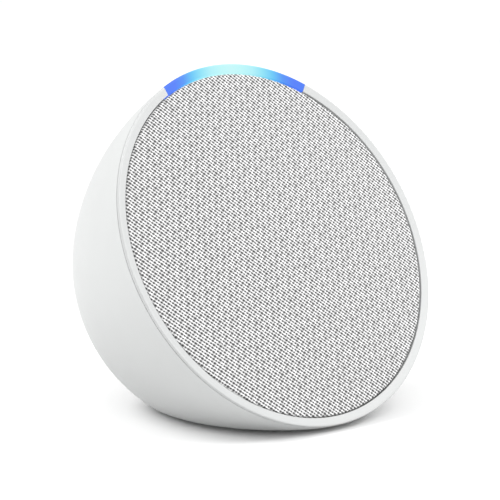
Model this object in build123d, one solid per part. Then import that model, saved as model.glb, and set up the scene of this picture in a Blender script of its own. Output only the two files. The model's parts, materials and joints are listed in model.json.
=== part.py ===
"""Small tabletop smart speaker: a tilted half-dome shell with a round cloth grille in front.

Millimetres. +Z is up, the grille looks towards -Y, and the origin is on the table under the
middle of the speaker. Round parts share the face axis, which is square to the grille and leans
back. They are drawn in the face frame: X across, Y up along the face, Z out of the grille. In
that frame a place is a radius from the face axis and a depth behind the front of the bezel.
"""

import os
from math import asin, atan2, cos, degrees, hypot, radians, sin, sqrt

from build123d import *

# ---- outer form -------------------------------------------------------------------------
OVERALL_HEIGHT = 91.0
RIM_RADIUS = 49.5  # outside of the bezel, half the overall width
RIM_EDGE = 0.3  # rounded outer edge of the bezel
WIDEST_DEPTH = 0.5  # behind the front of the bezel, where the side starts to curve in
FACE_LEAN = 25.7  # degrees that the grille leans back from upright
BARREL_RADIUS = 82.0  # long arc of the side, which starts square to the face
CAP_RADIUS = 44.8  # sphere that closes the back, tangent to the barrel arc
WALL = 1.6
BASE_HEIGHT = 1.4  # flat underside of the shell above the table
FLOOR_THICKNESS = 2.0

LEAN = radians(FACE_LEAN)
BARREL_CENTRE_RADIUS = RIM_RADIUS - BARREL_RADIUS
CAP_DEPTH = WIDEST_DEPTH + sqrt((BARREL_RADIUS - CAP_RADIUS) ** 2 - BARREL_CENTRE_RADIUS**2)
BLEND_ANGLE = atan2(-BARREL_CENTRE_RADIUS, CAP_DEPTH - WIDEST_DEPTH)  # where barrel meets cap

RIM_CENTRE_RADIUS = RIM_RADIUS - RIM_EDGE
FRONT_REACH = RIM_CENTRE_RADIUS * sin(LEAN) + RIM_EDGE * (1 - cos(LEAN))
BACK_REACH = CAP_DEPTH * cos(LEAN) + CAP_RADIUS
TOP_REACH = RIM_CENTRE_RADIUS * cos(LEAN) + RIM_EDGE * (1 - sin(LEAN))
FACE_CENTRE = (0, (FRONT_REACH - BACK_REACH) / 2, OVERALL_HEIGHT - TOP_REACH)
FACE = Plane(FACE_CENTRE, x_dir=(1, 0, 0), z_dir=(0, -cos(LEAN), sin(LEAN)))

# ---- bezel, light bar and grille: radii, and depths behind the front of the bezel ---------
OPENING_RADIUS = 47.2
BEZEL_DISH = 0.5  # the bezel slopes back this far from its front to the opening
BEZEL_LAND_RADIUS = 49.0  # where the slope starts
BEZEL_SIDE = 0.65  # visible side of the bezel, ahead of the parting line
PARTING_GAP = 0.2
SKIRT_RADIUS = 47.6
BEZEL_BACK = 4.2
LEDGE_RADIUS = 45.2
BAR_HALF_ANGLE = 29.1
BAR_JOINT_ANGLE = 0.1
BAR_NECK_RADIUS = 48.35
BAR_RABBET_RADIUS = 48.5
BAR_RABBET_DEPTH = 5.0
CLOTH_RADIUS = 46.85
CLOTH_THICKNESS = 0.5
CLOTH_DEPTH = 0.65
GRILLE_THICKNESS = 1.5
GRILLE_FRONT = CLOTH_DEPTH + CLOTH_THICKNESS
GRILLE_BACK = GRILLE_FRONT + GRILLE_THICKNESS
GRILLE_HOLE_RADIUS = 2.2
GRILLE_PITCH = 5.6
HOOK_ANGLES = (-25, 0, 25, 155, 180, 205)
HOOK_ARC = 6.0

# ---- light board ------------------------------------------------------------------------
LED_COUNT = 6
LED_RADIUS = 46.4
LED_BOARD_FRONT = 5.2
LED_BOARD_HALF_ANGLE = 27.0
LED_TAB_ANGLE = 25.0  # left of the top, where the flat cable plugs in

# ---- loudspeaker enclosure ----------------------------------------------------------------
BAFFLE_FRONT = LED_BOARD_FRONT + 1.0
BAFFLE_THICKNESS = 2.0
BAFFLE_RADIUS = 46.6
SEAT_DEPTH = BAFFLE_FRONT + BAFFLE_THICKNESS
SEAT_RADIUS = 33.5
CUTOUT_RADIUS = 24.4
BAFFLE_BACK = SEAT_DEPTH + BAFFLE_THICKNESS
BAFFLE_SCREW_RADIUS = 44.9
BAFFLE_SCREW_ANGLES = (45, 135, 225, 315)
GASKET_THICKNESS = 0.4
CUP_FLANGE_RADIUS = 33.0
CUP_FRONT = BAFFLE_BACK + GASKET_THICKNESS
CUP_MOUTH_RADIUS = 29.0
CUP_END_RADIUS = 22.5
CUP_BACK = 37.8
CUP_WALL = 1.8
CUP_SCREW_RADIUS = 31.2
CUP_SCREW_COUNT = 6

# ---- driver -----------------------------------------------------------------------------
DRIVER_RADIUS = 24.75  # 1.95 inch frame
FLANGE_FRONT = 6.6
FLANGE_BACK = SEAT_DEPTH - GASKET_THICKNESS
EAR_SCREW_RADIUS = 28.0
EAR_RADIUS = 3.2
CONE_EDGE_RADIUS = 19.0
CONE_NECK_DEPTH = 14.0
DUST_CAP_RADIUS = 8.0
DUST_CAP_SEAT_DEPTH = 13.2
DUST_CAP_SPHERE_RADIUS = 12.0
SHEET = 0.4  # thickness of cone, dust cap, surround and spider
POLE_RADIUS = 6.0
FORMER_RADIUS = 6.3
COIL_RADIUS = 6.5
GAP_RADIUS = 7.25
SPIDER_DEPTH = 17.1
SPIDER_RADIUS = 15.0
TOP_PLATE_DEPTH = 21.0
MAGNET_DEPTH = 23.5
YOKE_DEPTH = 30.0
YOKE_BACK = 33.0
MAGNET_RADIUS = 16.0

# ---- keys on top ------------------------------------------------------------------------
KEY_DEPTH = 15.0  # middle of the keys behind the face
KEY_SPACING = 12.5
KEY_RADIUS = 3.9
KEY_PROUD = 0.3
KEY_MARK_DEPTH = 0.15
KEY_CLEARANCE = 0.2
KEY_NAMES = ("volume_down", "mic_mute", "volume_up")
KEY_COLLAR_END = 5.2  # heights from here on are below the shell's surface at the middle key
KEY_FLANGE_TOP = 5.25
KEY_FLANGE_BOTTOM = 6.1
KEY_FLANGE_RADIUS = KEY_RADIUS + 0.6
SWITCH_TOP = 7.2
BUTTON_BOARD_TOP = 9.3
BUTTON_BOARD_BOTTOM = 10.3
MIC_SPACING = KEY_SPACING / 2
MIC_TOP = BUTTON_BOARD_TOP - 1.0
MIC_GASKET_TOP = MIC_TOP - 0.7
MIC_DUCT_RADIUS = 1.4
BUTTON_SCREW_X = 19.4
BUTTON_BOARD_LENGTH = 43.6

# ---- main board, power inlet and foot ------------------------------------------------------
BOARD_BOTTOM = 6.6
BOARD_TOP = 7.8
BOARD_RADIUS = 27.0
BOARD_CENTRE_Y = -5.0
BOARD_FRONT_Y = -27.0
BOARD_SCREWS = ((-20, 6), (20, 6), (-10, -24.5), (10, -24.5))
INLET_RADIUS = 4.5
INLET_WALL_RADIUS = 6.2
INLET_HEIGHT = 12.5
JACK_FACE_Y = 26.8
JACK_LENGTH = 12.8
JACK_SIZE = 9.0
JACK_BORE_RADIUS = 2.15
JACK_PIN_RADIUS = 0.8
FOOT_RADIUS = 23.0
FOOT_CENTRE_Y = -8.0
FOOT_RECESS = 0.5
FLEX_RADIUS = 37.5
FLEX_THICKNESS = 0.3
FLEX_FRONT = 11.0
FLEX_BACK = 17.0
LEAD_RADIUS = 0.5
LEAD_SPACING = 1.6  # each side of the pair's middle
LEAD_AXIS_RADIUS = 18.0
LEAD_ANGLE = 240
LEAD_START = TOP_PLATE_DEPTH + 3.0
LEAD_END = 48.5
GROMMET_RADIUS = 2.6
SCREW_CLEARANCE = 0.05

BOTTOM = (Align.CENTER, Align.CENTER, Align.MIN)
TOP = (Align.CENTER, Align.CENTER, Align.MAX)


# ---- helpers ----------------------------------------------------------------------------
def ring(corners, start=0.0, arc=360.0):
    """A ring about the face axis, from its section's (radius, depth) corners."""
    section = Polygon(*[(radius, -depth) for radius, depth in corners], align=None)
    return Rot(Z=start) * revolve(Plane.XZ * section, Axis.Z, arc)


def tube(inner, outer, front, back, start=0.0, arc=360.0):
    """A plain ring about the face axis between two radii and two depths."""
    return ring([(inner, front), (outer, front), (outer, back), (inner, back)], start, arc)


def rod(radius, front, back):
    """A round bar along Z between two depths."""
    return Pos(Z=-front) * Cylinder(radius, back - front, align=TOP)


def polar(radius, angle, depth=0.0):
    """A place in the face frame; the angle runs anticlockwise from +X."""
    return Pos(radius * cos(radians(angle)), radius * sin(radians(angle)), -depth)


def block(x, y, width, length, bottom, top):
    """A box standing in the world frame."""
    return Pos(x, y, bottom) * Box(width, length, top - bottom, align=BOTTOM)


def screw(head_radius, head_height, shank_radius, length):
    """A pan-head screw with a six-lobe socket, its head's underside at Z = 0."""
    head = fillet(Cylinder(head_radius, head_height, align=BOTTOM).edges().group_by(Axis.Z)[-1], 0.3)
    socket = Pos(Z=head_height / 2) * extrude(RegularPolygon(head_radius * 0.45, 6), head_height)
    return head + Cylinder(shank_radius, length, align=TOP) - socket


def dome(inset=0.0, front=0.0):
    """The dome in the face frame, inset evenly from its outer surface, from a depth to the back."""

    def barrel_point(angle):
        radius = BARREL_RADIUS - inset
        return (BARREL_CENTRE_RADIUS + radius * sin(angle), -(WIDEST_DEPTH + radius * cos(angle)))

    def cap_point(angle):
        radius = CAP_RADIUS - inset
        return (radius * sin(angle), -(CAP_DEPTH + radius * cos(angle)))

    front_angle = radians(90) - asin((front - WIDEST_DEPTH) / (BARREL_RADIUS - inset))
    barrel_middle = (front_angle + BLEND_ANGLE) / 2
    barrel = ThreePointArc(
        barrel_point(front_angle), barrel_point(barrel_middle), barrel_point(BLEND_ANGLE)
    )
    cap = ThreePointArc(cap_point(BLEND_ANGLE), cap_point(BLEND_ANGLE / 2), cap_point(0))
    mouth = Line((0, -front), barrel_point(front_angle))
    axis = Line(cap_point(0), (0, -front))
    return revolve(Plane.XZ * make_face(mouth + barrel + cap + axis), Axis.Z)


def barrel_radius_at(depth):
    """Radius of the outer surface at a depth on the barrel arc."""
    return BARREL_CENTRE_RADIUS + sqrt(BARREL_RADIUS**2 - (depth - WIDEST_DEPTH) ** 2)


def key_plane():
    """The keys' frame: on the shell's surface above the face axis, Z along its normal."""
    tilt = asin((KEY_DEPTH - WIDEST_DEPTH) / BARREL_RADIUS)
    surface = Pos(0, barrel_radius_at(KEY_DEPTH), -KEY_DEPTH)
    frame = FACE * surface * Rot(X=-90 - degrees(tilt))
    return Plane(frame)


KEYS = key_plane()
KEY_X = (-KEY_SPACING, 0, KEY_SPACING)
MIC_X = (-MIC_SPACING, MIC_SPACING)
INLET_PLANE = Plane((0, JACK_FACE_Y, INLET_HEIGHT), x_dir=(-1, 0, 0), z_dir=(0, 1, 0))
FLOOR_TOP = BASE_HEIGHT + FLOOR_THICKNESS


# ---- casing -----------------------------------------------------------------------------
def shell_floor():
    """Flat floor inside the dome, clear of the bezel's skirt at the front."""
    slab = Pos(Z=BASE_HEIGHT) * Box(200, 200, FLOOR_THICKNESS, align=BOTTOM)
    skirt_room = rod(RIM_RADIUS - WALL, -1, BEZEL_BACK + PARTING_GAP)
    return FACE * (dome(front=1.0) - skirt_room) & slab


def shell_bosses():
    """Everything that stands up from the inside of the shell."""
    bosses = [
        FACE * polar(BAFFLE_SCREW_RADIUS, angle) * rod(2.9, SEAT_DEPTH, 22)
        for angle in BAFFLE_SCREW_ANGLES
    ]
    bosses += [KEYS * Pos(X=x) * rod(KEY_RADIUS + 1.3, -1, KEY_COLLAR_END) for x in KEY_X]
    bosses += [KEYS * Pos(X=x) * rod(MIC_DUCT_RADIUS, -1, MIC_GASKET_TOP) for x in MIC_X]
    bosses += [
        KEYS * Pos(X=x) * rod(1.8, -1, BUTTON_BOARD_TOP) for x in (-BUTTON_SCREW_X, BUTTON_SCREW_X)
    ]
    bosses += [
        Pos(x, y, FLOOR_TOP - 1) * Cylinder(2.4, BOARD_BOTTOM - FLOOR_TOP + 1, align=BOTTOM)
        for x, y in BOARD_SCREWS
    ]
    bosses.append(INLET_PLANE * Cylinder(INLET_WALL_RADIUS, 20, align=BOTTOM))
    return bosses


def shell_holes():
    """Everything cut through or into the shell."""
    pilot = 1.05 + SCREW_CLEARANCE
    holes = [
        FACE * polar(BAFFLE_SCREW_RADIUS, angle) * rod(pilot, SEAT_DEPTH - 1, 18)
        for angle in BAFFLE_SCREW_ANGLES
    ]
    holes += [KEYS * Pos(X=x) * rod(KEY_RADIUS + KEY_CLEARANCE, -2, KEY_COLLAR_END + 1) for x in KEY_X]
    holes += [KEYS * Pos(X=x) * rod(0.6, -2, MIC_GASKET_TOP + 1) for x in MIC_X]
    holes += [
        KEYS * Pos(X=x) * rod(0.75 + SCREW_CLEARANCE, 5.2, BUTTON_BOARD_TOP + 1)
        for x in (-BUTTON_SCREW_X, BUTTON_SCREW_X)
    ]
    holes += [
        Pos(x, y, FLOOR_TOP) * Cylinder(0.85 + SCREW_CLEARANCE, 10, align=BOTTOM)
        for x, y in BOARD_SCREWS
    ]
    holes.append(INLET_PLANE * Pos(Z=-1) * Cylinder(INLET_RADIUS, 30, align=BOTTOM))
    foot_seat = Cylinder(FOOT_RADIUS + PARTING_GAP, BASE_HEIGHT + FOOT_RECESS, align=BOTTOM)
    holes.append(Pos(Y=FOOT_CENTRE_Y) * foot_seat)
    rabbet_start = 90 - BAR_HALF_ANGLE - 1
    rabbet_arc = 2 * (BAR_HALF_ANGLE + 1)
    holes.append(
        FACE * tube(RIM_RADIUS - WALL - 1, BAR_RABBET_RADIUS, 0, BAR_RABBET_DEPTH, rabbet_start, rabbet_arc)
    )
    return holes


def rear_shell():
    """Moulded half-dome with its floor, bosses, key collars and the power inlet's recess."""
    front = BEZEL_SIDE + PARTING_GAP
    outside = FACE * dome(front=front)
    wall = FACE * (dome(front=front) - dome(inset=WALL, front=front - 0.5))
    above_base = Pos(Z=BASE_HEIGHT) * Box(200, 200, 200, align=BOTTOM)
    shell = wall & above_base
    shell += shell_floor()
    for boss in shell_bosses():
        shell += boss & outside
    for hole in shell_holes():
        shell -= hole
    return shell


def rim_section(neck_radius):
    """Section of the bezel or of the light bar: dished lip, neck and the ledge for the grille."""
    corners = [
        (OPENING_RADIUS, -BEZEL_DISH),
        (BEZEL_LAND_RADIUS, 0),
        (RIM_RADIUS, 0),
        (RIM_RADIUS, -BEZEL_SIDE),
        (neck_radius, -BEZEL_SIDE),
        (neck_radius, -BEZEL_BACK),
        (LEDGE_RADIUS, -BEZEL_BACK),
        (LEDGE_RADIUS, -GRILLE_BACK),
        (OPENING_RADIUS, -GRILLE_BACK),
    ]
    section = Polygon(*corners, align=None)
    outer_corner = section.vertices().sort_by(lambda vertex: vertex.X + vertex.Y)[-1]
    return Plane.XZ * fillet(outer_corner, RIM_EDGE)


def front_bezel():
    """C-shaped ring round the grille, with snap hooks that hold it to the baffle."""
    start = 90 + BAR_HALF_ANGLE + BAR_JOINT_ANGLE
    arc = 360 - 2 * (BAR_HALF_ANGLE + BAR_JOINT_ANGLE)
    bezel = Rot(Z=start) * revolve(rim_section(SKIRT_RADIUS), Axis.Z, arc)
    barb_depth = SEAT_DEPTH + PARTING_GAP
    hook = [
        (45.3, BEZEL_BACK - 0.5),
        (46.5, BEZEL_BACK - 0.5),
        (46.5, barb_depth + 1.2),
        (45.3, barb_depth + 1.2),
        (44.3, barb_depth),
        (45.3, barb_depth),
    ]
    for angle in HOOK_ANGLES:
        bezel += ring(hook, angle - HOOK_ARC / 2, HOOK_ARC)
    return FACE * bezel


def light_bar_lens():
    """Diffusing light guide that closes the bezel's ring along the top."""
    section = rim_section(BAR_NECK_RADIUS)
    return FACE * Rot(Z=90 - BAR_HALF_ANGLE) * revolve(section, Axis.Z, 2 * BAR_HALF_ANGLE)


def hex_places(pitch, limit):
    """Places of a hexagonal grid that lie within a radius."""
    row_pitch = pitch * sqrt(3) / 2
    reach = int(limit / row_pitch) + 1
    places = []
    for row in range(-reach, reach + 1):
        for column in range(-reach, reach + 1):
            x = (column + (row % 2) / 2) * pitch
            y = row * row_pitch
            if hypot(x, y) <= limit:
                places.append((x, y))
    return places


def grille_frame():
    """Stiff perforated disc that the cloth is stretched over."""
    radius = CLOTH_RADIUS - CLOTH_THICKNESS
    holes = Locations(*hex_places(GRILLE_PITCH, radius - GRILLE_HOLE_RADIUS - 1.2))
    plate = Circle(radius) - holes * Circle(GRILLE_HOLE_RADIUS)
    return FACE * Pos(Z=-GRILLE_FRONT) * extrude(plate, -GRILLE_THICKNESS)


def grille_cloth():
    """Acoustic cloth: stretched over the front of the frame and round its edge."""
    frame_room = rod(CLOTH_RADIUS - CLOTH_THICKNESS, GRILLE_FRONT, GRILLE_BACK + 1)
    return FACE * (rod(CLOTH_RADIUS, CLOTH_DEPTH, GRILLE_BACK) - frame_room)


# ---- light board ------------------------------------------------------------------------
def led_angles():
    """Even places along the light bar."""
    step = 2 * LED_BOARD_HALF_ANGLE / LED_COUNT
    return [90 - LED_BOARD_HALF_ANGLE + step * (index + 0.5) for index in range(LED_COUNT)]


def led_board():
    """Curved circuit board behind the light bar, with a tab for the flat cable."""
    start = 90 - LED_BOARD_HALF_ANGLE
    arc = 2 * LED_BOARD_HALF_ANGLE
    board = tube(43, 47.3, LED_BOARD_FRONT, BAFFLE_FRONT, start, arc)
    tab_start = 90 + LED_TAB_ANGLE - 5
    return FACE * (board + tube(36, 43.5, LED_BOARD_FRONT, BAFFLE_FRONT, tab_start, 7))


def leds():
    """One colour-changing emitter for each stretch of the light bar."""
    height = LED_BOARD_FRONT - BEZEL_BACK - PARTING_GAP
    lens_room = Cylinder(0.6, 0.2, align=TOP)
    emitters = []
    for angle in led_angles():
        place = polar(LED_RADIUS, angle, LED_BOARD_FRONT) * Rot(Z=angle)
        emitters.append(place * (Box(1.6, 2.0, height, align=BOTTOM) - Pos(Z=height) * lens_room))
    return FACE * Compound(children=emitters)


def led_connector():
    """Socket for the flat cable, in the baffle's window behind the board's tab."""
    place = polar(FLEX_RADIUS, 90 + LED_TAB_ANGLE - 1.5, BAFFLE_FRONT) * Rot(Z=90 + LED_TAB_ANGLE - 1.5)
    return FACE * place * Box(2.4, 3.8, BAFFLE_THICKNESS, align=TOP)


# ---- loudspeaker enclosure ----------------------------------------------------------------
def speaker_baffle():
    """Front wall of the loudspeaker enclosure, screwed to the shell's bosses."""
    baffle = ring(
        [
            (CUTOUT_RADIUS, SEAT_DEPTH),
            (SEAT_RADIUS, SEAT_DEPTH),
            (SEAT_RADIUS, BAFFLE_FRONT),
            (BAFFLE_RADIUS, BAFFLE_FRONT),
            (BAFFLE_RADIUS, SEAT_DEPTH),
            (SEAT_RADIUS + 2, SEAT_DEPTH),
            (SEAT_RADIUS + 2, BAFFLE_BACK),
            (CUTOUT_RADIUS, BAFFLE_BACK),
        ]
    )
    for angle in BAFFLE_SCREW_ANGLES:
        baffle -= polar(BAFFLE_SCREW_RADIUS, angle) * rod(1.3, 0, 20)
        baffle -= polar(EAR_SCREW_RADIUS, angle) * rod(1.0 + SCREW_CLEARANCE, 0, BAFFLE_BACK - 0.4)
    for angle in cup_screw_angles():
        baffle -= polar(CUP_SCREW_RADIUS, angle) * rod(0.85 + SCREW_CLEARANCE, SEAT_DEPTH + 0.5, 20)
    for angle in HOOK_ANGLES:
        baffle -= tube(45.0, 48, 0, 20, angle - HOOK_ARC / 2 - 0.5, HOOK_ARC + 1)
    baffle -= tube(36, 39.2, 0, SEAT_DEPTH + 0.1, 90 + LED_TAB_ANGLE - 5, 7)
    above_floor = Pos(Z=FLOOR_TOP + PARTING_GAP) * Box(200, 200, 200, align=BOTTOM)
    return FACE * baffle & above_floor


def cup_screw_angles():
    """Places of the enclosure's screws, between the driver's."""
    return [360 * index / CUP_SCREW_COUNT for index in range(CUP_SCREW_COUNT)]


def speaker_enclosure():
    """Tapered cup that closes the air volume behind the driver."""
    inner_end = CUP_BACK - CUP_WALL
    cup = ring(
        [
            (CUP_MOUTH_RADIUS - CUP_WALL, CUP_FRONT),
            (CUP_FLANGE_RADIUS, CUP_FRONT),
            (CUP_FLANGE_RADIUS, CUP_FRONT + 2),
            (CUP_MOUTH_RADIUS, CUP_FRONT + 2),
            (CUP_END_RADIUS, CUP_BACK),
            (0, CUP_BACK),
            (0, inner_end),
            (CUP_END_RADIUS - 1.4, inner_end),
        ]
    )
    for angle in cup_screw_angles():
        cup -= polar(CUP_SCREW_RADIUS, angle) * rod(1.0, 0, 20)
    cup -= polar(LEAD_AXIS_RADIUS, LEAD_ANGLE) * rod(GROMMET_RADIUS, inner_end - 1, CUP_BACK + 1)
    return FACE * cup


def enclosure_gasket():
    """Foam ring that seals the cup to the baffle."""
    gasket = tube(CUP_MOUTH_RADIUS - CUP_WALL, CUP_FLANGE_RADIUS, BAFFLE_BACK, CUP_FRONT)
    for angle in cup_screw_angles():
        gasket -= polar(CUP_SCREW_RADIUS, angle) * rod(1.0, 0, 20)
    return FACE * gasket


def enclosure_screws():
    """Screws that hold the cup to the baffle, driven in from behind."""
    one = Rot(X=180) * screw(1.7, 1.3, 0.85, 3.6)
    return FACE * Compound(
        children=[polar(CUP_SCREW_RADIUS, a, CUP_FRONT + 2) * one for a in cup_screw_angles()]
    )


def baffle_screws():
    """Screws that hold the baffle to the shell."""
    one = screw(2.1, 1.4, 1.05, 9)
    return FACE * Compound(
        children=[polar(BAFFLE_SCREW_RADIUS, a, BAFFLE_FRONT) * one for a in BAFFLE_SCREW_ANGLES]
    )


def driver_screws():
    """Screws through the driver's ears into the baffle."""
    one = screw(1.9, 1.3, 1.0, 3.0)
    return FACE * Compound(
        children=[polar(EAR_SCREW_RADIUS, a, FLANGE_FRONT) * one for a in BAFFLE_SCREW_ANGLES]
    )


# ---- driver -----------------------------------------------------------------------------
def flange_outline():
    """Outline of the driver's frame: a circle with an ear for each screw."""
    outline = Circle(DRIVER_RADIUS)
    for angle in BAFFLE_SCREW_ANGLES:
        ear = Pos(X=EAR_SCREW_RADIUS) * Circle(EAR_RADIUS)
        bridge = Pos(X=EAR_SCREW_RADIUS / 2 + 8) * Rectangle(EAR_SCREW_RADIUS - 16, 2 * EAR_RADIUS)
        outline += Rot(Z=angle) * (ear + bridge)
    return outline


def screw_clearance_holes(radius):
    """Holes for the driver's screws."""
    return [Rot(Z=a) * Pos(X=EAR_SCREW_RADIUS) * Circle(radius) for a in BAFFLE_SCREW_ANGLES]


def driver_basket():
    """Pressed frame: flange with ears, windowed cone and the seat of the magnet system."""
    plate = flange_outline() - Circle(22.0)
    for hole in screw_clearance_holes(1.15):
        plate -= hole
    flange = Pos(Z=-FLANGE_FRONT) * extrude(plate, FLANGE_FRONT - FLANGE_BACK)
    wall = ring(
        [
            (22.0, FLANGE_FRONT),
            (23.6, FLANGE_FRONT),
            (23.6, 11.0),
            (18.0, SPIDER_DEPTH + 0.8),
            (16.5, TOP_PLATE_DEPTH),
            (8.5, TOP_PLATE_DEPTH),
            (8.5, TOP_PLATE_DEPTH - 1.2),
            (15.3, TOP_PLATE_DEPTH - 1.2),
            (15.8, SPIDER_DEPTH + 0.8),
            (13.4, SPIDER_DEPTH + 0.8),
            (13.4, SPIDER_DEPTH),
            (17.0, SPIDER_DEPTH),
            (22.0, 10.6),
        ]
    )
    window = Pos(X=19, Z=-12.9) * Box(12, 8, 3.4)
    for index in range(6):
        wall -= Rot(Z=30 + 60 * index) * window
    return FACE * (flange + wall)


def driver_gasket():
    """Foam ring under the driver's flange."""
    outline = flange_outline() - Circle(CUTOUT_RADIUS)
    for hole in screw_clearance_holes(1.15):
        outline -= hole
    return FACE * Pos(Z=-FLANGE_BACK) * extrude(outline, -GASKET_THICKNESS)


def surround_section():
    """Half-roll with a flat lip on each side."""
    roll_inner = CONE_EDGE_RADIUS + 0.4
    roll_outer = 22.8
    middle = (roll_inner + roll_outer) / 2
    roll = (roll_outer - roll_inner) / 2
    lip_top = -FLANGE_FRONT + SHEET
    annulus = Circle(roll) - Circle(roll - SHEET)
    half = annulus & Pos(Y=roll / 2) * Rectangle(2 * roll, roll)
    inner_lip = Pos(roll_inner - 0.5, SHEET / 2) * Rectangle(1.8, SHEET)
    outer_lip = Pos(roll_outer + 0.7, SHEET / 2) * Rectangle(2.2, SHEET)
    return Plane.XZ * Pos(Y=lip_top - SHEET) * (Pos(X=middle) * half + inner_lip + outer_lip)


def surround():
    """Rubber half-roll that centres the cone's edge."""
    return FACE * revolve(surround_section(), Axis.Z)


def surround_ring():
    """Trim ring glued over the surround's outer lip."""
    return FACE * tube(22.9, 24.5, FLANGE_FRONT - SHEET - 0.7, FLANGE_FRONT - SHEET)


def cone():
    """Paper cone, slightly flared, with a flat rim under the surround and a neck on the former."""
    rim = (CONE_EDGE_RADIUS - 0.6, -FLANGE_FRONT)
    cap_seat = (DUST_CAP_RADIUS, -DUST_CAP_SEAT_DEPTH)
    neck = (COIL_RADIUS, -CONE_NECK_DEPTH)
    front = ThreePointArc(rim, cap_seat, neck)
    back = Pos(Y=-1.3 * SHEET) * front
    paper = make_face(front + back + Line(front @ 0, back @ 0) + Line(front @ 1, back @ 1))
    lip = Pos(CONE_EDGE_RADIUS - 0.2, -FLANGE_FRONT - SHEET / 2) * Rectangle(1.6, SHEET)
    return FACE * revolve(Plane.XZ * (paper + lip), Axis.Z)


def dust_cap():
    """Shallow dome over the voice coil, seated on the cone."""
    drop = sqrt(DUST_CAP_SPHERE_RADIUS**2 - DUST_CAP_RADIUS**2)
    skin = Sphere(DUST_CAP_SPHERE_RADIUS) - Sphere(DUST_CAP_SPHERE_RADIUS - SHEET)
    cap = Pos(Z=-DUST_CAP_SEAT_DEPTH - drop) * skin
    return FACE * (cap & rod(DUST_CAP_RADIUS, 0, DUST_CAP_SEAT_DEPTH))


def coil_former():
    """Tube that carries the voice coil and joins it to the cone."""
    return FACE * tube(FORMER_RADIUS, COIL_RADIUS, 12.9, 24.6)


def voice_coil():
    """Copper winding in the magnetic gap."""
    return FACE * tube(COIL_RADIUS, COIL_RADIUS + 0.4, 20.0, 24.4)


def spider():
    """Corrugated disc that centres the former."""
    waves = 3
    inner = COIL_RADIUS
    outer = SPIDER_RADIUS
    flat = 1.6
    pitch = (outer - inner - 2 * flat) / (2 * waves)
    points = [(inner, 0)]
    points += [(inner + flat + pitch * step, 0.7 * (step % 2)) for step in range(2 * waves + 1)]
    points.append((outer, 0))
    upper = [(radius, -SPIDER_DEPTH + lift + SHEET) for radius, lift in points]
    lower = [(radius, -SPIDER_DEPTH + lift) for radius, lift in reversed(points)]
    return FACE * revolve(Plane.XZ * Polygon(*upper, *lower, align=None), Axis.Z)


def top_plate():
    """Steel washer in front of the magnet."""
    return FACE * tube(GAP_RADIUS, 15.0, TOP_PLATE_DEPTH, MAGNET_DEPTH)


def magnet():
    """Ring magnet between the top plate and the yoke."""
    return FACE * tube(9.0, MAGNET_RADIUS, MAGNET_DEPTH, YOKE_DEPTH)


def pole_yoke():
    """Steel back plate with the pole that the coil slides over."""
    plate = rod(15.0, YOKE_DEPTH, YOKE_BACK)
    return FACE * (plate + rod(POLE_RADIUS, TOP_PLATE_DEPTH, YOKE_DEPTH + 1))


def driver_terminals():
    """Tab strip on the driver's frame where the leads are soldered."""
    place = polar(LEAD_AXIS_RADIUS, LEAD_ANGLE, TOP_PLATE_DEPTH) * Rot(Z=LEAD_ANGLE)
    strip = Pos(X=-0.9) * Box(3.8, 7.0, 1.0, align=TOP)
    tab_length = LEAD_START - TOP_PLATE_DEPTH - 1.0
    tabs = [
        Pos(0, y, -1.0) * Box(0.5, 1.6, tab_length, align=TOP) for y in (-LEAD_SPACING, LEAD_SPACING)
    ]
    return FACE * place * (strip + tabs)


# ---- keys, switches and microphones -------------------------------------------------------
def key_mark(name):
    """Engraved symbol: a bar, a plus, or a struck-out ring."""
    bar = Rectangle(2.6, 0.5)
    if name == "volume_down":
        return bar
    if name == "volume_up":
        return bar + Rectangle(0.5, 2.6)
    return (Circle(1.5) - Circle(1.1)) + Rot(Z=45) * Rectangle(3.0, 0.4)


def key_cap(name, x):
    """Round cap that follows the dome, with a retaining flange and a post for its switch."""
    outline = KEYS * Pos(X=x) * rod(KEY_RADIUS, -2, KEY_FLANGE_BOTTOM)
    cap = outline & FACE * dome(inset=-KEY_PROUD, front=1.0)
    top_edge = cap.edges().sort_by(lambda edge: edge.center().Z)[-1]
    cap = fillet(top_edge, 0.2)
    cap += KEYS * Pos(X=x) * rod(KEY_FLANGE_RADIUS, KEY_FLANGE_TOP, KEY_FLANGE_BOTTOM)
    pocket = rod(2.9, 4.7, KEY_FLANGE_BOTTOM + 1) - rod(1.2, 0, KEY_FLANGE_BOTTOM + 2)
    cap -= KEYS * Pos(X=x) * pocket
    mark = KEYS * Pos(X=x, Z=-6) * extrude(key_mark(name), 12)
    return cap - (mark - FACE * dome(inset=KEY_MARK_DEPTH - KEY_PROUD, front=1.0))


def switch_plunger(x):
    """Moving pin of one tact switch, under its key's post."""
    return KEYS * Pos(X=x) * rod(1.0, KEY_FLANGE_BOTTOM, SWITCH_TOP + 0.7)


def tact_switches():
    """Fixed housings of the three switches."""
    room = rod(1.15, 0, SWITCH_TOP + 1.4)
    housing = Pos(Z=-SWITCH_TOP) * Box(5, 5, BUTTON_BOARD_TOP - SWITCH_TOP, align=TOP)
    return KEYS * Compound(children=[Pos(X=x) * (housing - room) for x in KEY_X])


def button_board():
    """Small circuit board under the keys."""
    thickness = BUTTON_BOARD_BOTTOM - BUTTON_BOARD_TOP
    board = Pos(Z=-BUTTON_BOARD_TOP) * extrude(RectangleRounded(BUTTON_BOARD_LENGTH, 9, 1.2), -thickness)
    for x in (-BUTTON_SCREW_X, BUTTON_SCREW_X):
        board -= Pos(X=x) * rod(0.95, 0, 20)
    return KEYS * board


def microphones():
    """Two capsules under the shell's sound holes."""
    body = Box(2.7, 3.5, BUTTON_BOARD_TOP - MIC_TOP, align=TOP)
    port = Cylinder(0.4, 0.4, align=TOP)
    return KEYS * Compound(children=[Pos(X=x, Z=-MIC_TOP) * (body - port) for x in MIC_X])


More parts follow.
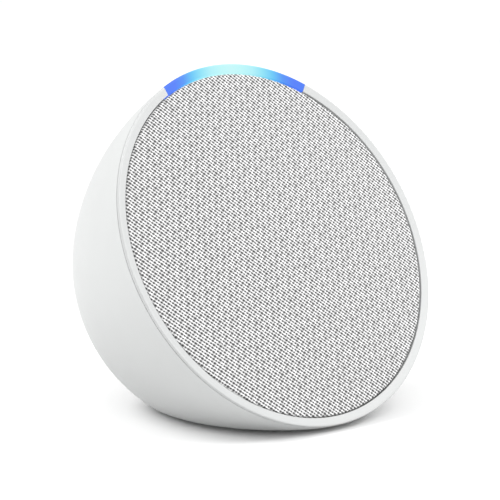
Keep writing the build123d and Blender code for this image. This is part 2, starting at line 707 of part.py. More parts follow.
def mic_gaskets():
    """Soft rings between the capsules and the shell's sound ducts."""
    one = rod(1.3, MIC_GASKET_TOP, MIC_TOP) - rod(0.7, 0, 20)
    return KEYS * Compound(children=[Pos(X=x) * one for x in MIC_X])


def button_board_screws():
    """Screws that hold the button board to its posts."""
    one = Rot(X=180) * screw(1.5, 1.1, 0.75, 4.6)
    places = [Pos(X=x, Z=-BUTTON_BOARD_BOTTOM) for x in (-BUTTON_SCREW_X, BUTTON_SCREW_X)]
    return KEYS * Compound(children=[place * one for place in places])


def button_connector():
    """Socket under the button board for its flat cable."""
    return KEYS * Pos(X=6.5, Z=-BUTTON_BOARD_BOTTOM) * Box(6.0, 6.4, 2.2, align=TOP)


# ---- main board and power inlet -------------------------------------------------------------
def main_board():
    """Round circuit board on the floor's standoffs, cut straight along its front."""
    outline = Pos(0, BOARD_CENTRE_Y) * Circle(BOARD_RADIUS)
    outline &= Pos(0, BOARD_FRONT_Y + 50) * Rectangle(100, 100)
    for x, y in BOARD_SCREWS:
        outline -= Pos(x, y) * Circle(1.1)
    return Pos(Z=BOARD_BOTTOM) * extrude(outline, BOARD_TOP - BOARD_BOTTOM)


def main_board_screws():
    """Screws that hold the main board to its standoffs."""
    one = screw(1.9, 1.2, 0.85, 3.8)
    return Compound(children=[Pos(x, y, BOARD_TOP) * one for x, y in BOARD_SCREWS])


def processor():
    """Main processor, under the shield."""
    return block(5, -13, 12, 12, BOARD_TOP, BOARD_TOP + 1.0)


def memory_chip():
    """Memory chip beside the processor."""
    return block(-9, -13, 9, 11, BOARD_TOP, BOARD_TOP + 0.9)


def thermal_pad():
    """Soft pad from the processor to the shield."""
    return block(5, -13, 12, 12, BOARD_TOP + 1.0, BOARD_TOP + 2.1)


def shield_can():
    """Folded steel lid over the processor and memory."""
    lid = block(0, -13, 32, 17, BOARD_TOP, BOARD_TOP + 2.4)
    return lid - block(0, -13, 31.4, 16.4, BOARD_TOP, BOARD_TOP + 2.1)


def heat_spreader():
    """Aluminium plate on the shield, with shallow ribs."""
    bottom = BOARD_TOP + 2.4
    plate = block(0, -13, 30, 16, bottom, bottom + 0.5)
    for index in range(7):
        plate += block(-12 + 4 * index, -13, 1.2, 16, bottom, bottom + 1.0)
    return plate


def audio_amplifier():
    """Amplifier chip for the loudspeaker."""
    return block(8, 3, 6, 6, BOARD_TOP, BOARD_TOP + 0.9)


def wireless_module():
    """Radio module near the antenna."""
    return block(-13, 2, 9, 8, BOARD_TOP, BOARD_TOP + 1.2)


def power_inductors():
    """Two moulded coils of the supply."""
    one = fillet(Box(6, 6, 3, align=BOTTOM).edges().filter_by(Axis.Z), 1.0)
    return Compound(children=[Pos(20, y, BOARD_TOP) * one for y in (-10, -2)])


def capacitors():
    """Two electrolytic cans of the supply."""
    one = fillet(Cylinder(3.1, 7, align=BOTTOM).edges().group_by(Axis.Z)[-1], 0.5)
    return Compound(children=[Pos(x, 13, BOARD_TOP) * one for x in (9, 16)])


def wifi_antenna():
    """Stamped plate antenna standing on the edge of the board."""
    mast = block(-24.5, -8, 0.4, 14, BOARD_TOP, BOARD_TOP + 7)
    slot = block(-24.5, -8, 1, 9, BOARD_TOP + 2, BOARD_TOP + 4)
    return mast - slot


def board_connectors():
    """Sockets for the two flat cables and the loudspeaker lead."""
    left = block(-20.3, -21.6, 5.4, 7.2, BOARD_TOP, BOARD_TOP + 4.4)
    right = block(20.3, -21.6, 5.4, 7.2, BOARD_TOP, BOARD_TOP + 4.4)
    speaker = block(-9, 17.0, 6.4, 4.0, BOARD_TOP, BOARD_TOP + 6.4)
    return [left, right, speaker]


def speaker_leads():
    """Two insulated wires from the driver's tabs to the main board, in line with the driver."""
    middle = FACE * polar(LEAD_AXIS_RADIUS, LEAD_ANGLE) * Rot(Z=LEAD_ANGLE)
    run = rod(LEAD_RADIUS, LEAD_START, LEAD_END)
    return [middle * Pos(Y=y) * run for y in (-LEAD_SPACING, LEAD_SPACING)]


def lead_grommet():
    """Rubber seal where the leads leave the enclosure."""
    plug = rod(GROMMET_RADIUS, CUP_BACK - CUP_WALL, CUP_BACK)
    plug += rod(GROMMET_RADIUS + 0.8, CUP_BACK, CUP_BACK + 0.8)
    return FACE * polar(LEAD_AXIS_RADIUS, LEAD_ANGLE) * plug


def dc_jack():
    """Moulded barrel jack behind the inlet's recess."""
    body = block(0, JACK_FACE_Y - JACK_LENGTH / 2, JACK_SIZE, JACK_LENGTH, BOARD_TOP, BOARD_TOP + 9.2)
    bore = INLET_PLANE * Cylinder(JACK_BORE_RADIUS, 9.5, align=TOP)
    rear = INLET_PLANE * Cylinder(JACK_PIN_RADIUS, JACK_LENGTH, align=TOP)
    return body - bore - rear


def dc_jack_pin():
    """Centre contact of the jack."""
    pin = INLET_PLANE * Pos(Z=-1.0) * Cylinder(JACK_PIN_RADIUS, JACK_LENGTH - 1.0, align=TOP)
    tip = pin.edges().sort_by(Axis.Y)[-1]
    return fillet(tip, 0.4)


def rubber_foot():
    """Round non-slip pad in the recess of the floor."""
    top = BASE_HEIGHT + FOOT_RECESS
    pad = Cylinder(FOOT_RADIUS, top, align=BOTTOM)
    pad = fillet(pad.edges().group_by(Axis.Z)[0], 0.6)
    dish = Cylinder(FOOT_RADIUS - 4, 0.3, align=BOTTOM)
    return Pos(Y=FOOT_CENTRE_Y) * (pad - dish)


# ---- flat cables --------------------------------------------------------------------------
def flex_band(start, arc):
    """A flat cable laid round the enclosure, on edge to the face axis."""
    return tube(FLEX_RADIUS, FLEX_RADIUS + FLEX_THICKNESS, FLEX_FRONT, FLEX_BACK, start, arc)


def light_bar_flex():
    """Flat cable from the light board down the left side."""
    tail_start = 90 + LED_TAB_ANGLE - 1.5 - 2.6
    tail = tube(FLEX_RADIUS, FLEX_RADIUS + FLEX_THICKNESS, SEAT_DEPTH, FLEX_BACK, tail_start, 5.2)
    return FACE * (tail + flex_band(tail_start, 240 - tail_start))


def button_flex():
    """Flat cable from the button board down the right side."""
    return FACE * flex_band(-60, 60 + 78)


def make_parts():
    """Every node by name."""
    connectors = board_connectors()
    upper_connector = button_connector()
    left_flex = light_bar_flex()
    right_flex = button_flex() - upper_connector
    leads = speaker_leads()
    grommet = lead_grommet()
    for connector in connectors:
        left_flex -= connector
        right_flex -= connector
        leads = [lead - connector for lead in leads]
    for lead in leads:
        grommet -= lead
    parts = {
        "rear_shell": rear_shell(),
        "front_bezel": front_bezel(),
        "light_bar_lens": light_bar_lens(),
        "grille_frame": grille_frame(),
        "grille_cloth": grille_cloth(),
        "led_board": led_board(),
        "leds": leds(),
        "led_connector": led_connector(),
        "speaker_baffle": speaker_baffle(),
        "speaker_enclosure": speaker_enclosure(),
        "enclosure_gasket": enclosure_gasket(),
        "enclosure_screws": enclosure_screws(),
        "baffle_screws": baffle_screws(),
        "driver_screws": driver_screws(),
        "driver_basket": driver_basket(),
        "driver_gasket": driver_gasket(),
        "surround": surround(),
        "surround_ring": surround_ring(),
        "cone": cone(),
        "dust_cap": dust_cap(),
        "coil_former": coil_former(),
        "voice_coil": voice_coil(),
        "spider": spider(),
        "top_plate": top_plate(),
        "magnet": magnet(),
        "pole_yoke": pole_yoke(),
        "driver_terminals": driver_terminals(),
        "tact_switches": tact_switches(),
        "button_board": button_board(),
        "button_board_screws": button_board_screws(),
        "button_connector": upper_connector,
        "microphones": microphones(),
        "mic_gaskets": mic_gaskets(),
        "main_board": main_board(),
        "main_board_screws": main_board_screws(),
        "processor": processor(),
        "memory_chip": memory_chip(),
        "thermal_pad": thermal_pad(),
        "shield_can": shield_can(),
        "heat_spreader": heat_spreader(),
        "audio_amplifier": audio_amplifier(),
        "wireless_module": wireless_module(),
        "power_inductors": power_inductors(),
        "capacitors": capacitors(),
        "wifi_antenna": wifi_antenna(),
        "board_connectors": Compound(children=connectors),
        "speaker_leads": Compound(children=leads),
        "lead_grommet": grommet,
        "light_bar_flex": left_flex,
        "button_flex": right_flex,
        "dc_jack": dc_jack(),
        "dc_jack_pin": dc_jack_pin(),
        "rubber_foot": rubber_foot(),
    }
    for name, x in zip(KEY_NAMES, KEY_X):
        parts[f"button_{name}"] = key_cap(name, x)
        parts[f"plunger_{name}"] = switch_plunger(x)
    return parts


os.makedirs("parts", exist_ok=True)
for node, shape in make_parts().items():
    export_step(shape, f"parts/{node}.step")
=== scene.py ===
"""Looks of the small tabletop smart speaker: cloth, plastics, light bar, table, light and camera.

Everything is in metres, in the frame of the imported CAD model. The grille's own axes are used for
the cloth and the light bar: across (world +X), up along the face, and out of the face.
"""

import json
from math import asin, cos, pi, radians, sin

import bpy
import numpy as np
from mathutils import Matrix, Vector


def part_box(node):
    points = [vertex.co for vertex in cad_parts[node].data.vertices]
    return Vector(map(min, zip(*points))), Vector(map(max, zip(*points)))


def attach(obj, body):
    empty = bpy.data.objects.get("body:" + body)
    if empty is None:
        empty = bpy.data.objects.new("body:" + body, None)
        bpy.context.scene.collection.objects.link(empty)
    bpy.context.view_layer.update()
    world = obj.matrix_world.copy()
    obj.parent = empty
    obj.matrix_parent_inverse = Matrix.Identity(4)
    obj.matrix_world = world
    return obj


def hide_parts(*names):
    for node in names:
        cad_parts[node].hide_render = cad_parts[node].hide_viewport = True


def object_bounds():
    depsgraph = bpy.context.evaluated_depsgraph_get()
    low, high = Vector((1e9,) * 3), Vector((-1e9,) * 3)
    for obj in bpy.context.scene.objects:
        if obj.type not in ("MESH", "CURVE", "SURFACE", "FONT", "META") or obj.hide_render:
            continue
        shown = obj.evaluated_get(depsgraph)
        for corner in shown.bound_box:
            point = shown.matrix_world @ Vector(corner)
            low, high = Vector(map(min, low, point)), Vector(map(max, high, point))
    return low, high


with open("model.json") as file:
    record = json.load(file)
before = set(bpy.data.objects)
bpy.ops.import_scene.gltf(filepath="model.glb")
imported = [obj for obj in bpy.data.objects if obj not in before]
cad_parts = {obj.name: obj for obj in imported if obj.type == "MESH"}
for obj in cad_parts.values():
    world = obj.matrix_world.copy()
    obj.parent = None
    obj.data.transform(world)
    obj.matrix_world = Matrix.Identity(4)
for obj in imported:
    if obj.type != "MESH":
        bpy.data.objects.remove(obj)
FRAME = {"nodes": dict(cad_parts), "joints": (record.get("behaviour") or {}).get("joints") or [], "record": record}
CAD_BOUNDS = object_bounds()
MM = 0.001
NOISE_RANGE = (0.3, 0.7)  # values that a noise texture mostly stays between

# ---- directions of the face ---------------------------------------------------------------
CONE_SLIDE = next(joint for joint in FRAME["joints"] if joint["name"] == "cone_slide")
OUT_OF_FACE = Vector(CONE_SLIDE["axis"])
FACE_LEAN = asin(OUT_OF_FACE.z)
ACROSS = Vector((1, 0, 0))
UP_FACE = Vector((0, sin(FACE_LEAN), cos(FACE_LEAN)))
SPEAKER_MIDDLE = (CAD_BOUNDS[0] + CAD_BOUNDS[1]) / 2

# ---- knit cloth ---------------------------------------------------------------------------
STITCH_WIDTH = 1.2986 * MM  # repeat across; every other row is shifted by half of it
STITCH_HEIGHT = 1.1108 * MM  # repeat up the face, two rows of holes
STITCH_STEPS = 4  # mesh steps along each side of a stitch
HOLE_ALONG = 0.375  # half size of a hole in stitches, along its slant
HOLE_ACROSS = 0.255
HOLE_SINK = 0.2 * MM
HOLE_RIM = 1.15  # where the sunk part ends and the crest begins, in half sizes of a hole
EVEN_SPREAD = (0.7549, 0.5698, 0)  # turns stitch numbers into evenly scattered fractions
TIGHTNESS = (0.8, 1.3)  # each hole's painted shade is drawn smaller by a factor from this range
YARN_CREST = 0.05 * MM
PAINTED_SHADE_TO_CREST = [(0.3, 0.006), (0.9, 0.1), (1.5, 0.4), (2.3, 0.84)]  # half sizes out of a hole, and grey: painted shade, near black in the hole and grey up its sloping sides, then the near-white crest
FUZZ_SIZE = 0.25 * MM
FUZZ_SHADES = (0.58, 1.4)  # least and most that loose fibres multiply the grey by
CLOTH_BEND = 0.45 * MM  # bend of the cloth over the edge of the grille frame
CLOTH_TURN_BACK = 1.1 * MM  # cloth beyond the bend, down the side of the frame
LEAST_RADIUS = 1e-9  # keeps the way outward defined at the very middle of the cloth

# ---- plastics -----------------------------------------------------------------------------
CASING_SHADE = (0.456, 0.464, 0.461)  # shell and keys
CASING_ROUGHNESS = 0.45
BEZEL_SHADE = (0.415, 0.422, 0.42)
BEZEL_ROUGHNESS = 0.42

# ---- light bar ----------------------------------------------------------------------------
BAR_GLOW = [  # share of the way from the middle to an end, and colour
    (0.0, (0.53, 0.89, 0.9)),
    (0.14, (0.49, 0.89, 0.9)),
    (0.29, (0.42, 0.84, 0.9)),
    (0.43, (0.255, 0.73, 0.88)),
    (0.57, (0.12, 0.54, 0.88)),
    (0.7, (0.073, 0.28, 0.88)),
    (0.84, (0.07, 0.185, 0.9)),
    (1.0, (0.06, 0.187, 0.9)),
]
BAR_CLOUDING = 0.12  # unevenness of the glow

# ---- table and light ----------------------------------------------------------------------
TABLE_HALF = 40.0  # half a side of the table top
TABLE_SHADES = (0.745, 0.755)
SURROUND_STRENGTH = 1.02
FAR_LIGHT_SPREAD = radians(38)
FAR_LIGHTS = {  # direction towards each light, and its strength
    "left": ((-0.6, 0.45, 0.75), 2.2),
    "front": ((-0.5, -0.7, 0.56), 0.6),
    "right": ((0.7, -0.6, 0.56), 0.85),
}
FILL_PLACE = (0.15, -0.3, 0.42)
FILL_SIZE = 0.25
FILL_POWER = 0.85  # watts

# ---- camera -------------------------------------------------------------------------------
CAMERA_AZIMUTH = radians(-40.18)
CAMERA_ELEVATION = radians(7.51)
CAMERA_DISTANCE = 403.1 * MM
CAMERA_RIGHT = -8.66 * MM
CAMERA_UP = -2.77 * MM
CAMERA_LENS = 112.97  # millimetres, as is the width of the sensor
CAMERA_SENSOR = 36.0
CAMERA_NEAREST = 0.01


# ---- shader helpers -----------------------------------------------------------------------
class Graph:
    """The node tree of one material, with short calls for the nodes that the materials use."""

    def __init__(self, name, roughness=0.5, metallic=0.0):
        self.material = bpy.data.materials.new(name)
        self.material.use_nodes = True
        self.tree = self.material.node_tree
        self.shader = self.tree.nodes["Principled BSDF"]
        self.shader.inputs["Roughness"].default_value = roughness
        self.shader.inputs["Metallic"].default_value = metallic

    def node(self, kind, inputs=(), **settings):
        """Adds a node. Each of inputs is an output to link or a value to set."""
        made = self.tree.nodes.new(kind)
        for key, value in settings.items():
            setattr(made, key, value)
        for place, value in dict(inputs).items():
            if isinstance(value, bpy.types.NodeSocket):
                self.tree.links.new(value, made.inputs[place])
            else:
                made.inputs[place].default_value = value
        return made

    def place(self):
        """Position on the object at rest, in metres."""
        return self.node("ShaderNodeTexCoord").outputs["Object"]

    def math(self, operation, a, b=0.0, c=0.0):
        """Arithmetic on plain values. An operation of one value leaves out b and c."""
        made = self.node("ShaderNodeMath", {0: a, 1: b, 2: c}, operation=operation)
        return made.outputs[0]

    def vector(self, operation, a, b=(0, 0, 0)):
        """Vector arithmetic. A length or a dot product comes out as a plain value."""
        made = self.node("ShaderNodeVectorMath", {0: a, 1: b}, operation=operation)
        return made.outputs["Value" if operation in ("LENGTH", "DOT_PRODUCT") else "Vector"]

    def noise(self, size, detail=3.0, where=None, roughness=0.5):
        """Noise with features of that size, in metres."""
        inputs = {
            "Vector": where or self.place(),
            "Scale": 1 / size,
            "Detail": detail,
            "Roughness": roughness,
        }
        return self.node("ShaderNodeTexNoise", inputs).outputs["Fac"]

    def remap(self, value, low, high, new_low=0.0, new_high=1.0):
        """Moves value from one range to another, and holds it at the new range's ends."""
        inputs = {"Value": value, 1: low, 2: high, 3: new_low, 4: new_high}
        return self.node("ShaderNodeMapRange", inputs).outputs[0]

    def mix(self, factor, a, b, blend="MIX"):
        """Colour a with colour b mixed in by factor, or blended in some other way."""
        inputs = {0: factor, 6: colour(a), 7: colour(b)}
        settings = {"data_type": "RGBA", "blend_type": blend}
        return self.node("ShaderNodeMix", inputs, **settings).outputs[2]

    def ramp(self, value, stops):
        """Colours along value, from (position, shade) stops in rising order."""
        last = stops[-1][0]
        made = self.node("ShaderNodeValToRGB", {0: self.math("DIVIDE", value, last)})
        elements = made.color_ramp.elements
        while len(elements) < len(stops):
            elements.new(1.0)
        for element, (position, shade) in zip(elements, stops):
            element.position = position / last
            element.color = colour(shade)
        return made.outputs[0]

    def bump(self, height, distance, strength=1.0):
        """Surface direction of fine relief, distance deep in metres where height is 1."""
        inputs = {"Height": height, "Distance": distance, "Strength": strength}
        return self.node("ShaderNodeBump", inputs).outputs["Normal"]

    def finish(self, **sockets):
        """Links or sets the shader's sockets, named with _ for a space."""
        for key, value in sockets.items():
            socket = self.shader.inputs[key.replace("_", " ")]
            if isinstance(value, bpy.types.NodeSocket):
                self.tree.links.new(value, socket)
            else:
                socket.default_value = value
        return self.material


def colour(value):
    """A colour socket, or an opaque colour from a grey level or three numbers."""
    if isinstance(value, bpy.types.NodeSocket):
        return value
    if isinstance(value, (int, float)):
        value = (value, value, value)
    return (*value, 1.0)


# ---- materials ----------------------------------------------------------------------------
def moulded(name, shade, roughness=0.5, grain=0.12 * MM, relief=0.004 * MM, mottle=0.02):
    """Injection-moulded plastic: fine spark-eroded grain, and a faint flow mottle."""
    graph = Graph(name)
    patches = graph.noise(9 * MM, detail=2.0)
    low = tuple(value * (1 - mottle) for value in shade)
    high = tuple(min(1.0, value * (1 + mottle)) for value in shade)
    texture = graph.noise(grain, detail=2.0)
    return graph.finish(
        Base_Color=graph.mix(patches, low, high),
        Roughness=graph.remap(texture, *NOISE_RANGE, roughness - 0.05, roughness + 0.05),
        Normal=graph.bump(texture, relief),
    )


def light_diffuser():
    """Milky light guide, lit pale cyan in the middle and royal blue at the ends."""
    graph = Graph("light_diffuser")
    across = graph.node("ShaderNodeSeparateXYZ", {0: graph.place()}).outputs["X"]
    low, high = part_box("light_bar_lens")
    share = graph.math("DIVIDE", graph.math("ABSOLUTE", across), (high.x - low.x) / 2)
    glow = graph.ramp(share, BAR_GLOW)
    cloud = graph.noise(2.5 * MM, detail=2.0)
    glow = graph.mix(BAR_CLOUDING, glow, graph.mix(cloud, glow, 1.0, "MULTIPLY"))
    return graph.finish(
        Base_Color=(0.01, 0.015, 0.02, 1.0),
        Emission_Color=glow,
        Emission_Strength=1.0,
        Roughness=graph.remap(graph.noise(0.4 * MM), *NOISE_RANGE, 0.3, 0.42),
        Specular_IOR_Level=0.15,
    )


def knit_fabric():
    """Light knit with near-white crests, and painted shade: grey on the sides that slope into the holes, and near
    black in the slanting holes, where the open knit would show the black frame in shadow.
    """
    graph = Graph("grille_fabric", roughness=0.85)
    stitch = graph.node("ShaderNodeUVMap", uv_map="stitch").outputs["UV"]
    hole = graph.vector("FLOOR", graph.vector("ADD", stitch, (0.5, 0.5, 0.5)))
    offset = graph.vector("SUBTRACT", stitch, hole)
    scaled = graph.vector("MULTIPLY", offset, (1 / HOLE_ACROSS, 1 / HOLE_ALONG, 0))
    spread = graph.math("FRACT", graph.vector("DOT_PRODUCT", hole, EVEN_SPREAD))
    tightness = graph.remap(spread, 0.0, 1.0, *TIGHTNESS)
    out_of_hole = graph.math("MULTIPLY", graph.vector("LENGTH", scaled), tightness)
    # painted shade: near black in the holes, grey up their sloping sides, near-white on the crests
    painted_shade_and_crest = graph.ramp(out_of_hole, PAINTED_SHADE_TO_CREST)
    fuzz = graph.remap(graph.noise(FUZZ_SIZE, detail=2.0), *NOISE_RANGE, *FUZZ_SHADES)
    fibre = graph.noise(0.08 * MM, detail=4.0)
    return graph.finish(
        Base_Color=graph.mix(1.0, painted_shade_and_crest, fuzz, "MULTIPLY"),
        Sheen_Weight=0.15,
        Sheen_Roughness=0.5,
        Roughness=graph.remap(fibre, *NOISE_RANGE, 0.75, 0.95),
        Normal=graph.bump(fibre, 0.02 * MM),
    )


def rubber(name, shade):
    """Matt moulded rubber with a slightly dusty, uneven surface."""
    graph = Graph(name)
    dust = graph.noise(1.6 * MM, detail=5.0)
    paler = tuple(value + 0.05 for value in shade)
    return graph.finish(
        Base_Color=graph.mix(graph.remap(dust, 0.45, 0.75), shade, paler),
        Roughness=graph.remap(dust, *NOISE_RANGE, 0.7, 0.9),
        Normal=graph.bump(graph.noise(0.15 * MM), 0.01 * MM),
    )


def metal(name, shade, roughness, brushed=0.0):
    """Plain metal with fine brush lines along one way, deeper as brushed rises."""
    graph = Graph(name, metallic=1.0)
    lines = graph.node("ShaderNodeMapping", {"Vector": graph.place(), "Scale": (1, 1, 0.05)})
    streaks = graph.noise(0.1 * MM, where=lines.outputs[0])
    return graph.finish(
        Base_Color=graph.mix(streaks, tuple(v * 0.88 for v in shade), shade),
        Roughness=graph.remap(streaks, *NOISE_RANGE, roughness - 0.08, roughness + 0.08),
        Normal=graph.bump(streaks, 0.004 * MM, strength=0.3 + brushed),
    )


def circuit_board():
    """Solder mask over faint copper tracks."""
    graph = Graph("circuit_board")
    tracks = graph.node(
        "ShaderNodeTexBrick",
        {"Vector": graph.place(), "Scale": 260.0, "Mortar Size": 0.02, "Brick Width": 1.2},
    )
    return graph.finish(
        Base_Color=graph.mix(tracks.outputs["Fac"], (0.02, 0.12, 0.06), (0.04, 0.2, 0.09)),
        Roughness=graph.remap(graph.noise(1 * MM), *NOISE_RANGE, 0.3, 0.42),
        Normal=graph.bump(tracks.outputs["Fac"], 0.02 * MM),
    )


def woven(name, shade, thread=0.5 * MM):
    """Coarse treated cloth, as of a spider."""
    graph = Graph(name)
    waves = [
        graph.node(
            "ShaderNodeTexWave",
            {"Vector": graph.place(), "Scale": 0.3 / thread, "Distortion": 0.6},
            bands_direction=way,
        ).outputs["Fac"]
        for way in ("X", "Z")
    ]
    weave = graph.math("MULTIPLY", *waves)
    return graph.finish(
        Base_Color=graph.mix(weave, tuple(v * 0.55 for v in shade), shade),
        Roughness=graph.remap(weave, 0.0, 1.0, 0.9, 0.6),
        Normal=graph.bump(weave, 0.06 * MM),
    )


def windings():
    """Enamelled copper wire in fine turns square to the coil's axis."""
    graph = Graph("copper_wire", metallic=1.0)
    turned = graph.node(
        "ShaderNodeMapping", {"Vector": graph.place(), "Rotation": (FACE_LEAN, 0, 0)}
    )
    turns = graph.node(
        "ShaderNodeTexWave", {"Vector": turned.outputs[0], "Scale": 1400.0}, bands_direction="Y"
    ).outputs["Fac"]
    return graph.finish(
        Base_Color=graph.mix(turns, (0.36, 0.13, 0.05), (0.8, 0.37, 0.17)),
        Roughness=graph.remap(turns, 0.0, 1.0, 0.5, 0.28),
        Normal=graph.bump(turns, 0.04 * MM),
    )


def make_materials():
    """A finished material for each of the record's material slots."""
    return {
        "shell_plastic": moulded("shell_plastic", CASING_SHADE, CASING_ROUGHNESS),
        "bezel_plastic": moulded("bezel_plastic", BEZEL_SHADE, BEZEL_ROUGHNESS),
        "key_plastic": moulded("key_plastic", CASING_SHADE, CASING_ROUGHNESS),
        "light_diffuser": light_diffuser(),
        "grille_plastic": moulded("grille_plastic", (0.03, 0.03, 0.032), 0.6),
        "grille_fabric": knit_fabric(),
        "circuit_board": circuit_board(),
        "white_package": moulded("white_package", (0.82, 0.82, 0.76), 0.35, relief=0.002 * MM),
        "black_package": moulded("black_package", (0.025, 0.025, 0.028), 0.55, mottle=0.1),
        "inner_plastic": moulded("inner_plastic", (0.045, 0.045, 0.05), 0.55, mottle=0.1),
        "foam": rubber("foam", (0.05, 0.05, 0.05)),
        "thermal_silicone": rubber("thermal_silicone", (0.42, 0.48, 0.58)),
        "rubber_black": rubber("rubber_black", (0.02, 0.02, 0.02)),
        "foot_rubber": rubber("foot_rubber", (0.36, 0.37, 0.38)),
        "paper_cone": woven("paper_cone", (0.06, 0.06, 0.06), thread=0.3 * MM),
        "spider_cloth": woven("spider_cloth", (0.7, 0.47, 0.15)),
        "kapton": moulded("kapton", (0.7, 0.33, 0.04), 0.3, mottle=0.06),
        "copper_wire": windings(),
        "screw_steel": metal("screw_steel", (0.25, 0.25, 0.26), 0.38),
        "pressed_steel": metal("pressed_steel", (0.62, 0.63, 0.64), 0.35, brushed=0.3),
        "ferrite": rubber("ferrite", (0.06, 0.06, 0.065)),
        "heat_aluminium": metal("heat_aluminium", (0.8, 0.81, 0.82), 0.3, brushed=0.5),
        "contact_brass": metal("contact_brass", (0.85, 0.68, 0.32), 0.25),
        "lead_insulation": rubber("lead_insulation", (0.5, 0.03, 0.03)),
    }


def dress_frame(materials):
    """Gives every CAD node the material of its slot in the record."""
    for part in FRAME["record"]["subparts"]:
        mesh = FRAME["nodes"][part["node"]].data
        mesh.materials.clear()
        mesh.materials.append(materials[part["material_slot"]])


# ---- cloth --------------------------------------------------------------------------------
def stitch_grid(reach):
    """Flat places (across, up) and stitch coordinates of the mesh points, and the mesh's faces.

    A stitch is a rhombus round one hole. Its sides are the steps to the next hole up to the
    right, and down to the right, so a grid along those two ways fits the knit exactly.
    """
    half_width = STITCH_WIDTH / 2
    half_height = STITCH_HEIGHT / 2
    count = int(reach / min(half_width, half_height)) + 2
    ticks = np.arange(-count * STITCH_STEPS, count * STITCH_STEPS + 1) / STITCH_STEPS
    rising, falling = np.meshgrid(ticks, ticks, indexing="ij")
    across = (rising + falling) * half_width
    up = (rising - falling) * half_height
    inside = across**2 + up**2 <= reach**2
    number = np.cumsum(inside).reshape(inside.shape) - 1
    whole = inside[:-1, :-1] & inside[1:, :-1] & inside[1:, 1:] & inside[:-1, 1:]
    corners = (number[:-1, :-1], number[:-1, 1:], number[1:, 1:], number[1:, :-1])
    faces = np.stack([corner[whole] for corner in corners], axis=1)
    used = np.unique(faces)
    renumbered = np.searchsorted(used, faces)
    places = np.stack([across[inside], up[inside]], axis=1)[used]
    stitches = np.stack([rising[inside], falling[inside]], axis=1)[used]
    return places, stitches, renumbered


def knit_height(stitches):
    """Height of the knit above the cloth's own surface: crests between sunken holes."""
    offset = stitches - np.round(stitches)
    out = np.hypot(offset[:, 0] / HOLE_ACROSS, offset[:, 1] / HOLE_ALONG)
    sunk = 1 - np.clip(out / HOLE_RIM, 0, 1)
    rise = np.clip(out - HOLE_RIM, 0, 1)
    return YARN_CREST * rise - HOLE_SINK * sunk * sunk * (3 - 2 * sunk)


def grille_cloth(material):
    """Knit cloth: flat over the grille frame, bent over its edge and turned down its side."""
    low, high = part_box("grille_cloth")
    outer = (high.x - low.x) / 2
    bend_start = outer - CLOTH_BEND
    reach = bend_start + CLOTH_BEND * pi / 2 + CLOTH_TURN_BACK
    places, stitches, faces = stitch_grid(reach)
    radius = np.maximum(np.hypot(places[:, 0], places[:, 1]), LEAST_RADIUS)
    outward = places / radius[:, None]
    past = np.clip(radius - bend_start, 0, None)
    angle = np.clip(past / CLOTH_BEND, 0, pi / 2)
    side = np.clip(past - CLOTH_BEND * pi / 2, 0, None)
    height = knit_height(stitches)
    new_radius = np.minimum(radius, bend_start) + (CLOTH_BEND + height) * np.sin(angle)
    depth = -CLOTH_BEND * (1 - np.cos(angle)) - side + height * np.cos(angle)
    points = (
        np.array(middle_of_front("grille_cloth"))
        + np.outer(new_radius * outward[:, 0], ACROSS)
        + np.outer(new_radius * outward[:, 1], UP_FACE)
        + np.outer(depth, OUT_OF_FACE)
    )
    mesh = bpy.data.meshes.new("grille_knit")
    mesh.from_pydata(points.tolist(), [], faces.tolist())
    layer = mesh.uv_layers.new(name="stitch")
    layer.uv.foreach_set("vector", stitches[faces.ravel()].ravel().astype(np.float32))
    mesh.materials.append(material)
    mesh.shade_smooth()
    knit = bpy.data.objects.new("grille_knit", mesh)
    bpy.context.scene.collection.objects.link(knit)
    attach(knit, "casing")
    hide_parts("grille_cloth")


def middle_of_front(name):
    """Place on the face axis that is level with the front of a CAD node."""
    low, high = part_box("grille_cloth")
    on_axis = (low + high) / 2
    node = FRAME["nodes"][name]
    reaches = [OUT_OF_FACE.dot(node.matrix_world @ vertex.co) for vertex in node.data.vertices]
    return on_axis + OUT_OF_FACE * (max(reaches) - OUT_OF_FACE.dot(on_axis))


# ---- table, light and camera ----------------------------------------------------------------
def table():
    """White table top that the speaker stands on, and no part of it."""
    graph = Graph("white_table", roughness=0.9)
    tone = graph.remap(graph.noise(30 * MM), *NOISE_RANGE, *TABLE_SHADES)
    material = graph.finish(Base_Color=tone, Specular_IOR_Level=0.1)
    around = ((-1, -1), (1, -1), (1, 1), (-1, 1))
    corners = [(x * TABLE_HALF, y * TABLE_HALF, 0) for x, y in around]
    mesh = bpy.data.meshes.new("table")
    mesh.from_pydata(corners, [], [(0, 1, 2, 3)])
    mesh.materials.append(material)
    top = bpy.data.objects.new("table", mesh)
    bpy.context.scene.collection.objects.link(top)


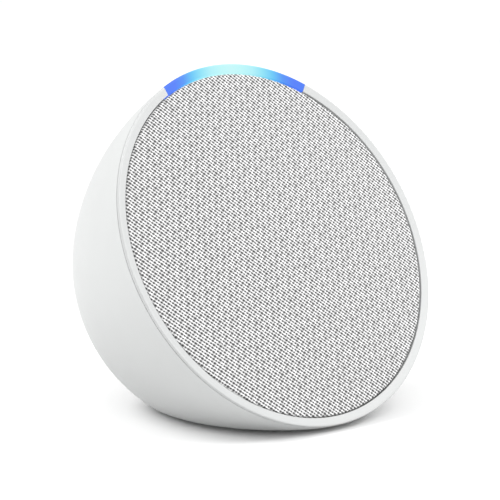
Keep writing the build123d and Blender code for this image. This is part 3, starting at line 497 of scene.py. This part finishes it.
def studio():
    """Even white surroundings, and colours shown without a film look."""
    world = bpy.data.worlds.new("studio")
    world.use_nodes = True
    background = world.node_tree.nodes["Background"]
    background.inputs["Color"].default_value = (1, 1, 1, 1)
    background.inputs["Strength"].default_value = SURROUND_STRENGTH
    bpy.context.scene.world = world
    bpy.context.scene.view_settings.view_transform = "Standard"


def far_light(name, towards, strength):
    """Broad, soft light from far away, in the direction towards it."""
    lamp = bpy.data.lights.new(name, "SUN")
    lamp.angle = FAR_LIGHT_SPREAD
    lamp.energy = strength
    light = bpy.data.objects.new(name, lamp)
    light.rotation_euler = Vector(towards).to_track_quat("Z", "Y").to_euler()
    bpy.context.scene.collection.objects.link(light)


def near_light(name, place, size, power):
    """Square area light at place that faces the speaker."""
    lamp = bpy.data.lights.new(name, "AREA")
    lamp.size = size
    lamp.energy = power
    light = bpy.data.objects.new(name, lamp)
    light.location = place
    light.rotation_euler = (light.location - SPEAKER_MIDDLE).to_track_quat("Z", "Y").to_euler()
    bpy.context.scene.collection.objects.link(light)


def camera():
    """The photograph's viewpoint: in front and to the left, a little above the table."""
    right = Vector((cos(CAMERA_AZIMUTH), sin(CAMERA_AZIMUTH), 0))
    back = Vector(
        (
            sin(CAMERA_AZIMUTH) * cos(CAMERA_ELEVATION),
            -cos(CAMERA_AZIMUTH) * cos(CAMERA_ELEVATION),
            sin(CAMERA_ELEVATION),
        )
    )
    up = back.cross(right)
    data = bpy.data.cameras.new("camera")
    data.lens = CAMERA_LENS
    data.sensor_width = CAMERA_SENSOR
    data.clip_start = CAMERA_NEAREST
    eye = bpy.data.objects.new("camera", data)
    face_centre = middle_of_front("front_bezel")
    place = face_centre + right * CAMERA_RIGHT + up * CAMERA_UP + back * CAMERA_DISTANCE
    turn = Matrix((right, up, back)).transposed()
    eye.matrix_world = Matrix.Translation(place) @ turn.to_4x4()
    bpy.context.scene.collection.objects.link(eye)
    bpy.context.scene.camera = eye


materials = make_materials()
dress_frame(materials)
grille_cloth(materials["grille_fabric"])
table()
studio()
for light_name, (towards, strength) in FAR_LIGHTS.items():
    far_light(light_name, towards, strength)
near_light("fill", FILL_PLACE, FILL_SIZE, FILL_POWER)
camera()
